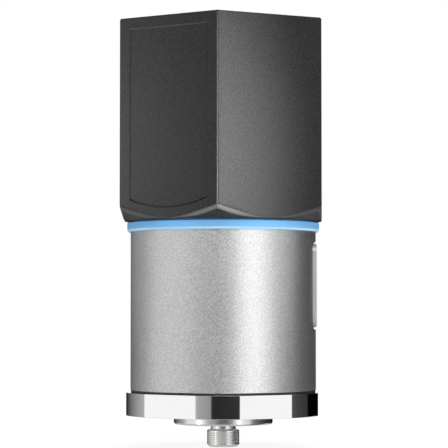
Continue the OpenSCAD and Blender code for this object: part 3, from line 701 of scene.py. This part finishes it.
def makeStud():
    low, high = span("mounting_stud")
    seat, tip, shankTop = high.x, low.z, high.z
    seatTop = span("base_flange")[0].z
    threadLow, threadHigh = tip + stud.tip, -stud.neckRise
    socketTop, radius, neck = tip + stud.socketDepth, stud.radius, stud.neck
    recess, shank = stud.recess, stud.shank
    edgeIn, edgeRise = stud.threadEdge
    neckLow, neckHigh = stud.neckRounds
    upper = rounded([(radius, threadHigh), (radius - edgeIn, threadHigh + edgeRise),
                     (neck, threadHigh + stud.neckFoot, neckLow), (neck, stud.recessDepth, neckHigh),
                     (recess, stud.recessDepth), (recess, 0), (seat, 0, stud.seatRound),
                     (seat, seatTop, stud.seatTopRound), (shank, seatTop),
                     (shank, shankTop, stud.shankRound), (0, shankTop)])
    columns = []
    for i in range(stud.turns):
        angle = turn * i / stud.turns
        socket = stud.socket / cos(offFace(angle))
        column = [(0, socketTop + stud.socketPoint), (socket, socketTop), (socket, tip + stud.socketLead),
                  (stud.socket * stud.socketFlare, tip), (radius - stud.tip, tip)]
        column += [(radius - stud.depth * grown * (1 - crest), z)
                   for z, grown, crest in threadSteps(stud, threadLow, threadHigh, angle)]
        columns.append(around(angle, column + upper))
    skinned("seatStud", columns, "stud", "stud_steel", "mounting_stud", sharp=40)


makeStud()
print("stage: metal body made")

# Nameplate: a bare plate with round corners, a bevelled edge and a fine border line
plate = Sizes(corner=2.0, bevel=0.12, border=0.8, line=0.25, lineSide=0.04, lineDepth=0.06, cornerSteps=8,
              rim=0.17, proud=0.03)  # its rim turns down round the tape


def makePlate():
    low, high = span("nameplate")
    face, sunk = high.x, high.x - plate.lineDepth
    first, last = plate.border, plate.border + plate.line
    levels = [(low.x - plate.rim, -plate.proud), (face - plate.bevel, -plate.proud),
              (face, plate.bevel), (face, first), (sunk, first + plate.lineSide),
              (sunk, last - plate.lineSide), (face, last)]
    columns = stacked(low, high, 0, plate.corner, levels, plate.cornerSteps)
    skinned("bareNameplate", columns, "plate", "plate_metal", "nameplate", ends=True, sharp=20)


makePlate()

# Cell: crimped can in shrunk film, open at the top round a bare metal pole
cell = Sizes(filmRound=0.6, footIn=1.2, footRise=0.3, crimp=2.6, crimpDepth=0.35, crimpHalf=0.4,
             lipIn=1.1, lipRound=0.2, floorIn=1.3, sunk=0.25, pole=2.6, poleRise=1.3, poleRound=0.3,
             collar=0.9, collarDrop=0.1, collarRound=0.05, turns=72)


# Middle and radius of a round node
def roundNode(low, high):
    return ((low.x + high.x) / 2, (low.y + high.y) / 2), (high.x - low.x) / 2


def makeCell():
    low, high = span("battery_cell")
    centre, radius = roundNode(low, high)
    foot, top = low.z + cell.footRise, high.z - cell.poleRise
    crimp, floor, half = top - cell.crimp, top - cell.sunk, cell.crimpHalf
    pole, collar, drop = cell.pole, cell.pole + cell.collar, cell.collarDrop
    film = rounded([(0, low.z), (radius - cell.footIn, low.z), (radius - cell.footIn, foot),
                    (radius, foot, cell.filmRound), (radius, crimp - half, half),
                    (radius - cell.crimpDepth, crimp, half), (radius, crimp + half, half),
                    (radius, top, cell.filmRound), (radius - cell.lipIn, top, cell.lipRound),
                    (radius - cell.floorIn, floor), (0, floor)])
    bare = rounded([(0, floor), (collar, floor), (collar, top - drop, cell.collarRound), (pole, top, drop),
                    (pole, high.z, cell.poleRound), (0, high.z)])
    skinned("cellCan", lathed(film, cell.turns, centre), "cell", "cell_wrap", "battery_cell")
    skinned("cellPole", lathed(bare, cell.turns, centre), "tin", "shield_tin")


# Capacitor: crimped film can with a bare scored top
store = Sizes(foot=0.3, soft=0.2, crimp=1.6, crimpDepth=0.35, crimpHalf=0.4, crimpRound=0.3, topRound=0.5,
              rim=0.9, rimRound=0.1, sunk=0.15, thick=0.1, score=0.12, turns=48)


def makeCapacitor():
    low, high = span("storage_capacitor")
    centre, radius = roundNode(low, high)
    crimp, half, soft = low.z + store.crimp, store.crimpHalf, store.soft
    floor, bore, foot = high.z - store.sunk, radius - store.rim, store.foot
    under = floor - store.thick
    film = rounded([(0, low.z), (radius - foot, low.z), (radius, low.z + foot, soft),
                    (radius, crimp - half, soft), (radius - store.crimpDepth, crimp, store.crimpRound),
                    (radius, crimp + half, soft), (radius, high.z, store.topRound),
                    (bore, high.z, store.rimRound), (bore, under), (0, under)])
    columns = lathed(film, store.turns, centre)
    skinned("storeCan", columns, "capacitor", "capacitor_wrap", "storage_capacitor")
    columns = []
    for i in range(store.turns):
        dip = store.score if i % (store.turns // 4) == 0 else 0.0  # the cross pressed into the top
        outline = [(0, under), (bore, under), (bore, floor), (bore - store.rim, floor - dip),
                   (0, floor - store.score)]
        columns.append(around(turn * i / store.turns, outline, centre))
    skinned("storeTop", columns, "tin", "shield_tin")


makeCell()
makeCapacitor()

# Boxed parts on the boards: heights are counted from the board, each with its inset
boxed = {
    "radioBoard": {"node": "radio_module", "finish": "module", "slot": "module_laminate", "corner": 0.3,
                   "levels": ((0, 0), (0.74, 0), (0.8, 0.06))},
    "shieldCan": {"node": "radio_shield", "finish": "tin", "slot": "shield_tin", "corner": 0.8,
                  "levels": ((0, 0.2), (0.7, 0.2), (0.75, 0), (1.7, 0), (1.9, 0.08), (2.0, 0.3), (2.0, 1.5),
                             (1.85, 1.7))},
    "chipBody": {"node": "microcontroller", "finish": "chip", "slot": "chip_epoxy", "corner": 0.15,
                 "side": -1,
                 "levels": ((0, 0.3), (0.12, 0.3), (0.14, 0), (0.75, 0.04), (0.86, 0.1), (0.9, 0.2))},
    "pickupCan": {"node": "accelerometer", "finish": "tin", "slot": "shield_tin", "corner": 0.7, "axis": 2,
                  "levels": ((0, 0), (0.3, 0), (0.35, 0.2), (1.75, 0.2), (1.95, 0.3), (2.0, 0.55))},
    "boardPlug": {"node": "board_connector", "finish": "plug", "slot": "connector_plastic", "corner": 0.3,
                  "axis": 2,
                  "levels": ((0, 0.12), (0.12, 0), (3.0, 0), (3.02, 0.25), (3.85, 0.25), (4.0, 0.4))},
    "pickupPlug": {"node": "sensor_connector", "finish": "plug", "slot": "connector_plastic", "corner": 0.3,
                   "axis": 2, "levels": ((0, 0.12), (0.12, 0), (3.88, 0), (4.0, 0.12))},
}


def makeBoxed():
    for name, part in boxed.items():
        low, high = span(part["node"])
        axis, side = part.get("axis", 1), part.get("side", 1)
        foot = (low if side > 0 else high)[axis]
        levels = [(foot + side * height, inset) for height, inset in part["levels"]]
        columns = stacked(low, high, axis, part["corner"], levels)
        skinned(name, columns, part["finish"], part["slot"], part["node"], ends=True, sharp=24)


# Rows of small bricks: chip legs, module pads, plug pins with their tabs, and the plug's latch
leads = Sizes(legs=8, legStep=0.65, legWide=0.3, legIn=0.2, legOut=0.35, legHigh=0.2, pads=9, padStep=1.4,
              padWide=0.8, padIn=0.7, padOver=0.03, padEdge=0.05, pins=10, pinStep=0.6, pinWide=0.24,
              pinIn=0.1, pinLong=0.7, edge=0.04, tab=0.3, tabIn=0.05, tabHigh=0.6, tabEnds=(0.8, 2.4),
              tabEdge=0.06, latch=1.2, latchIn=0.4, latchOver=0.15, latchEdge=0.2)


def makeLeads():
    low, high = span("microcontroller")
    middle = (low + high) / 2
    deep, wide = (high.y - leads.legHigh, high.y), leads.legWide
    legs = bmesh.new()
    for along in inRow(leads.legs, leads.legStep):
        for edge, side in ((low, -1), (high, 1)):
            back, out = -side * leads.legIn, side * leads.legOut
            brick(legs, (edge.x + back, edge.x + out), deep, about(middle.z + along, wide), leads.edge)
            brick(legs, about(middle.x + along, wide), deep, (edge.z + back, edge.z + out), leads.edge)
    piece("chipLegs", legs, "tin", "shield_tin")

    low, high = span("radio_module")
    over, pads = leads.padOver, bmesh.new()
    for along in inRow(leads.pads, leads.padStep):
        z = about((low.z + high.z) / 2 + along, leads.padWide)
        for edge, side in ((low.x, -1), (high.x, 1)):
            x = (edge + side * over, edge - side * leads.padIn)
            brick(pads, x, (low.y, high.y + over), z, leads.padEdge)
    piece("modulePads", pads, "gold", "contact_brass")

    low, high = span("board_connector")
    wide, pins, latch = leads.pinWide, bmesh.new(), bmesh.new()
    for x in inRow(leads.pins, leads.pinStep):
        z = (high.z - leads.pinIn, high.z + leads.pinLong)
        brick(pins, about(x, wide), (low.y, low.y + wide), z, leads.edge)
    tabFoot, tabTop = leads.tabEnds
    for x in (low.x - leads.tab, high.x - leads.tabIn):
        brick(pins, (x, x + leads.tab + leads.tabIn), (low.y, low.y + leads.tabHigh),
              (low.z + tabFoot, low.z + tabTop), leads.tabEdge)
    piece("plugPins", pins, "tin", "shield_tin")
    over = leads.latchOver
    brick(latch, (low.x + leads.latchIn, high.x - leads.latchIn), (high.y - leads.latch, high.y + over),
          (low.z - over, low.z + leads.latch), leads.latchEdge, 2)
    piece("plugLatch", latch, "chip", "chip_epoxy")


# Small ceramic parts with tinned ends, which stand out a little
smallParts = Sizes(end=0.32, lip=0.04, edge=0.05, endEdge=0.08)


def makeSmallParts():
    bodies, ends = bmesh.new(), bmesh.new()
    end, lip = smallParts.end, smallParts.lip
    for low, high in solidsOf("board_parts"):
        brick(bodies, (low.x + end, high.x - end), (low.y + lip, high.y), (low.z + lip, high.z - lip),
              smallParts.edge)
        for x in (low.x, high.x - end):
            brick(ends, (x, x + end), (low.y, high.y), (low.z, high.z), smallParts.endEdge, 2)
    piece("smallBodies", bodies, "ceramic", "chip_ceramic", "board_parts")
    piece("smallEnds", ends, "tin", "shield_tin")


makeBoxed()
makeLeads()
makeSmallParts()

# Screws: domed heads with a hexagon socket
screw = Sizes(shank=1.0, tip=0.3, head=1.3, dome=0.4, socket=0.75, depth=0.8, point=0.2, turns=36)


def makeScrews(node, name, axis):
    mesh = bmesh.new()
    for low, high in solidsOf(node):
        middle, reach = (low + high) / 2, (high - low).x / 2
        foot, top = low[axis], high[axis]
        under, floor, shank = top - screw.head, top - screw.depth, screw.shank
        columns = []
        for i in range(screw.turns):
            angle = turn * i / screw.turns
            socket = screw.socket / cos(offFace(angle))
            outline = rounded([(0, foot), (shank - screw.tip, foot), (shank, foot + screw.tip),
                               (shank, under), (reach, under), (reach, top, screw.dome),
                               (socket, top), (socket, floor), (0, floor - screw.point)])
            column = around(angle, outline, (middle.x, middle[3 - axis]))
            columns.append([(x, z, y) for x, y, z in column] if axis == 1 else column)
        skin(mesh, columns)
    piece(name, mesh, "stud", "stud_steel", node)


for node, name, axis in (("carrier_screws", "carrierScrews", 2), ("board_screws", "boardScrews", 1),
                         ("sensor_screws", "pickupScrews", 2)):
    makeScrews(node, name, axis)

# Contacts: bent gold strips from the cell's pole and foot to the board
contacts = Sizes(arm=0.4, armBend=1.2, tip=1.2, tipRise=0.5, tipBend=0.8, strip=0.3, stripBend=0.4,
                 cupWall=4.9)


def makeContacts():
    low, high = span("battery_contact")
    thick = contacts.arm
    level, upright = low.z + thick / 2, high.y - thick / 2
    path = rounded([(low.y, level + contacts.tipRise), (low.y + contacts.tip, level, contacts.tipBend),
                    (upright, level, contacts.armBend), (upright, high.z)])
    strip = bentStrip(path, low, high, thick)
    skinned("poleArm", strip, "gold", "contact_brass", "battery_contact", ends=True)
    low, high = span("battery_strip")
    thick, bend = contacts.strip, contacts.stripBend
    wall, level, upper = contacts.cupWall + thick / 2, low.z + thick / 2, high.z - thick / 2
    path = rounded([(low.y, level), (wall, level, bend), (wall, upper, bend), (high.y, upper)])
    strip = bentStrip(path, low, high, thick)
    skinned("footStrip", strip, "gold", "contact_brass", "battery_strip", ends=True)


makeContacts()
print("stage: inner pieces made")

# CAD nodes that keep their shape get a finish of their own, and the squared ones a small bevel
kept = {
    "base_oring": ("rubber", 0), "nameplate_tape": ("rubber", 0), "cover_oring": ("rubber", 0),
    "carrier": ("carrier", 0.15), "main_board": ("board", 0.08), "antenna_strip": ("gold", 0.1),
    "sensor_cable": ("cable", 0), "sensor_board": ("board", 0.08), "battery_spring": ("stud", 0),
}
squared = {"segments": 2, "limit_method": "ANGLE", "angle_limit": radians(40)}
for node, (finish, bevel) in kept.items():
    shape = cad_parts[node]
    shape.data.materials.clear()
    shape.data.materials.append(finishes[finish])
    if bevel:
        shape.modifiers.new("joined", "WELD").merge_threshold = joinGap
        edge = shape.modifiers.new("edges", "BEVEL")
        edge.width = bevel * mm
        for key, value in squared.items():
            setattr(edge, key, value)
        shape.modifiers.new("evenNormals", "WEIGHTED_NORMAL")
print("stage: kept nodes dressed,", len(kept))

# Camera at the photograph's angle, in degrees
view = Sizes(distance=490.0, azimuth=2.8, height=29.1, tilt=2.384, yaw=0.023, focal=158.3, sensor=36.0,
             nearest=10.0)


# Direction on the floor, its angle counted to the right of the camera
def aside(angle):
    side = radians(view.azimuth + angle)
    return Vector((sin(side), -cos(side), 0))


def makeCamera():
    data = bpy.data.cameras.new("photoCamera")
    data.lens = view.focal
    data.sensor_width = view.sensor
    data.clip_start = view.nearest * mm
    camera = added("photoCamera", data)
    camera.location = (aside(0) * view.distance + Vector((0, 0, view.height))) * mm
    camera.rotation_euler = [radians(value) for value in (90 + view.tilt, 0, view.azimuth - view.yaw)]
    bpy.context.scene.camera = camera


makeCamera()

# Studio: softboxes, dark cards that only reflections see, a pale floor and a white surround
studio = {
    "aim": 45.0,            # height that the lamps look at
    "spotRadius": 3.0,
    "lamps": {              # each at an angle, a distance and a height
        "rightSoftbox": {"at": (34, 300, 60), "size": (200, 320), "watts": 0.2,
                         "lights": ("sleeveBody", "sealBand")},
        "frontSoftbox": {"at": (12, 330, 380), "size": (300, 200), "watts": 0.9, "skips": ("coverShell",)},
        "edgeSpot": {"at": (66, 420, 90), "cone": 17.2, "stretch": 1.6, "watts": 29.0,
                     "target": (-15, -67, 64), "lights": ("coverShell",)},
        "rimSpot": {"at": (-4, 420, 50), "cone": 10, "stretch": 2.0, "watts": 20.0,
                    "target": (-4, -30, 68), "lights": ("coverShell",), "gloss": True},
        "leftSpot": {"at": (-75, 320, 90), "cone": 14.5, "stretch": 2.0, "watts": 1.0,
                     "target": (-29, -1, 66), "lights": ("coverShell",)},
        "leftGlow": {"at": (-36, 73, -5), "cone": 20, "watts": 0.2,
                     "target": (-4, -26, 53), "lights": ("coverShell",), "gloss": True},
        "rightGlow": {"at": (30, 73, -5), "cone": 20, "watts": 0.12,
                      "target": (4, -26, 53), "lights": ("coverShell",), "gloss": True},
        "rearSoftbox": {"at": (165, 300, 330), "size": (300, 250), "watts": 1.6,
                        "skips": ("baseFlange", "seatStud", "bareNameplate", "gasketRing")},
        "leftStrip": {"at": (-57, 420, 60), "size": (40, 500), "watts": 0.17,
                      "target": (0, 0, -3), "lights": ("seatStud",)},
        "rightStrip": {"at": (38, 420, 60), "size": (40, 500), "watts": 0.11,
                       "target": (0, 0, -3), "lights": ("seatStud",)},
        "topSoftbox": {"at": (20, 120, 460), "size": (300, 300), "watts": 0.35, "skips": ("coverShell",)},
    },
    # from angle, to angle, grey at each end, foot and top
    "cards": {
        "frontCard": (-13.4, 15, 0.02, 0.03, -110, 75),
        "frontEdgeCard": (15, 23.2, 0.03, 0.03, -110, 25),
        "frontLeftCard": (-39, -13.4, 0.47, 0.29, -110, 75),
        "rightCard": (67, 113, 0.08, 0.035, -500, 15),
        "rightSideCard": (94, 150, 0.16, 0.04, 15, 600),
        "rightBackCard": (113, 150, 0.0, 0.0, -120, 15),
        "rightRearCard": (150, 172, 0.0, 0.0, -220, 600),
        "leftBackCard": (-150, -97, 0.0, 0.5, -120, 15),
        "leftSideCard": (-150, -97, 0.3, 0.6, 15, 600),
        "rearCard": (-172, -150, 0.0, 0.02, -220, 600),
        "backGap": (172, 188, 0.0, 0.0, -220, 8),
    },
    "cardRadius": 600.0,
    "cardSteps": 12,
    "roof": (560.0, 460.0, 0.02),  # height, radius and grey of a dark card overhead
    "roofSteps": 24,
    "ambient": 0.62,
    "below": 0.6,           # grey that polished metal reflects from under the horizon
    "belowRange": (-0.36, -0.12),
    "floorGreys": (0.78, 0.82),
    "floorCloud": 60,
    "floorRough": 0.9,
    "floorSide": 8000.0,
    "floorDrop": 0.05,
    "floorGlow": 0.9,       # share of white that the camera sees near the part
    "floorFade": (90.0, 420.0),
}


def addLamps():
    for name, lamp in studio["lamps"].items():
        kind = "SPOT" if "cone" in lamp else "AREA"
        data = bpy.data.lights.new(name, kind)
        data.energy = lamp["watts"]
        if kind == "SPOT":
            data.spot_size = radians(lamp["cone"])
            data.spot_blend = 1.0
            data.shadow_soft_size = studio["spotRadius"] * mm
        else:
            data.shape = "RECTANGLE"
            data.size, data.size_y = (side * mm for side in lamp["size"])
        made = added(name, data)
        angle, distance, height = lamp["at"]
        place = (aside(angle) * distance + Vector((0, 0, height))) * mm
        target = Vector(lamp.get("target", (0, 0, studio["aim"]))) * mm
        stretch = (1, lamp.get("stretch", 1), 1)
        made.matrix_world = Matrix.LocRotScale(place, (target - place).to_track_quat("-Z", "Y"), stretch)
        made.visible_camera = False
        made.visible_diffuse = not lamp.get("gloss", False)
        chosen = lamp.get("lights", ()) + lamp.get("skips", ())
        if chosen:
            reached = bpy.data.collections.new(name + "Reach")
            made.light_linking.receiver_collection = reached
            for shape in chosen:
                reached.objects.link(bpy.data.objects[shape])
        if "skips" in lamp:
            for linked in reached.collection_objects:
                linked.light_linking.link_state = "EXCLUDE"


def stageMesh(name, points, faces, material):
    data = bpy.data.meshes.new(name)
    data.from_pydata([Vector(point) * mm for point in points], [], faces)
    data.materials.append(material)
    made = added(name, data)
    return made


# paper card whose grey runs evenly from one end to the other, along the angle round the part
def cardPaper(name, first, last, ends):
    f = Finish(name)
    middle = aside((first + last) / 2)
    across = aside((first + last) / 2 + 90)
    x, y = f.axis("X"), f.axis("Y")
    sides = {0: x * across.x + y * across.y, 1: x * middle.x + y * middle.y}
    angle = f.add("Math", {"operation": "ARCTAN2"}, sides)
    share = angle * (1 / radians(last - first)) + 0.5
    f.surface(Base_Color=(0, 0, 0, 1), Roughness=1.0, Specular_IOR_Level=0.0, Emission_Strength=1.0,
              Emission_Color=f.blend(share, (ends[0],) * 3, (ends[1],) * 3))
    return f.material


def onlyReflected(card):
    card.visible_camera = False
    card.visible_diffuse = False
    card.visible_shadow = False


def addCards():
    steps = studio["cardSteps"]
    for name, (first, last, *ends, low, high) in studio["cards"].items():
        rim = [aside(first + (last - first) * i / steps) * studio["cardRadius"] for i in range(steps + 1)]
        points = [(p.x, p.y, z) for p in rim for z in (low, high)]
        faces = [(2 * i, 2 * i + 2, 2 * i + 3, 2 * i + 1) for i in range(steps)]
        onlyReflected(stageMesh(name, points, faces, cardPaper(name, first, last, ends)))
    height, radius, grey = studio["roof"]
    steps = studio["roofSteps"]
    rim = [aside(360 * i / steps) * radius for i in range(steps)]
    paper = cardPaper("roofCard", 0, 180, (grey, grey))
    onlyReflected(stageMesh("roofCard", [(p.x, p.y, height) for p in rim], [tuple(range(steps))], paper))


# rays that show a surface to the camera, straight or in a reflection
def seenRays(n):
    camera, glossy, through = (n.add("LightPath", out=f"Is {kind} Ray")
                               for kind in ("Camera", "Glossy", "Transmission"))
    return n.add("Math", {"operation": "MINIMUM"}, {0: camera + glossy + through, 1: 1.0})


# near the part the floor takes its shadow, further off it runs out into the white surround
def addFloor():
    f = Finish("paleFloor")
    dark, light = ((grey,) * 3 for grey in studio["floorGreys"])
    f.surface(Base_Color=f.blend(f.grain(studio["floorCloud"]), dark, light), Roughness=studio["floorRough"])
    glow = f.add("Emission", None, {"Color": (1, 1, 1, 1), "Strength": 1.0})
    near, far = studio["floorFade"]
    fade = {"Value": f.away(), "From Min": near, "From Max": far,
            "To Min": studio["floorGlow"], "To Max": 1.0}
    share = f.add("MapRange", {"interpolation_type": "SMOOTHSTEP"}, fade)
    mixed = f.add("MixShader", None, {0: seenRays(f) * share, 1: Wire(f.tree, f.shader.outputs[0]), 2: glow})
    f.feed(f.ending, {"Surface": mixed})
    half = studio["floorSide"] / 2
    floor = stageMesh("paleFloor", [(-half, -half, 0), (half, -half, 0), (half, half, 0), (-half, half, 0)],
                      [(0, 1, 2, 3)], f.material)
    floor.location.z = cadBox[0][2] - studio["floorDrop"] * mm
    floor.visible_glossy = False


def addSurround():
    world = bpy.data.worlds.new("whiteSurround")
    world.use_nodes = True
    bpy.context.scene.world = world
    n = Nodes(world.node_tree)
    soft = n.add("Background", None, {"Color": (1, 1, 1, 1), "Strength": studio["ambient"]})
    height = n.add("SeparateXYZ", None, {0: n.add("TexCoord", out="Generated")}, out=2)
    shade = n.blend(n.rise(height, *studio["belowRange"]), (studio["below"],) * 3, (1, 1, 1))
    white = n.add("Background", None, {"Color": shade, "Strength": 1.0})
    mixed = n.add("MixShader", None, {0: seenRays(n), 1: soft, 2: white})
    n.feed(n.tree.nodes.new("ShaderNodeOutputWorld"), {"Surface": mixed})


addLamps()
addCards()
addFloor()
addSurround()
bpy.context.scene.view_settings.view_transform = "Standard"
print("stage: studio lit")
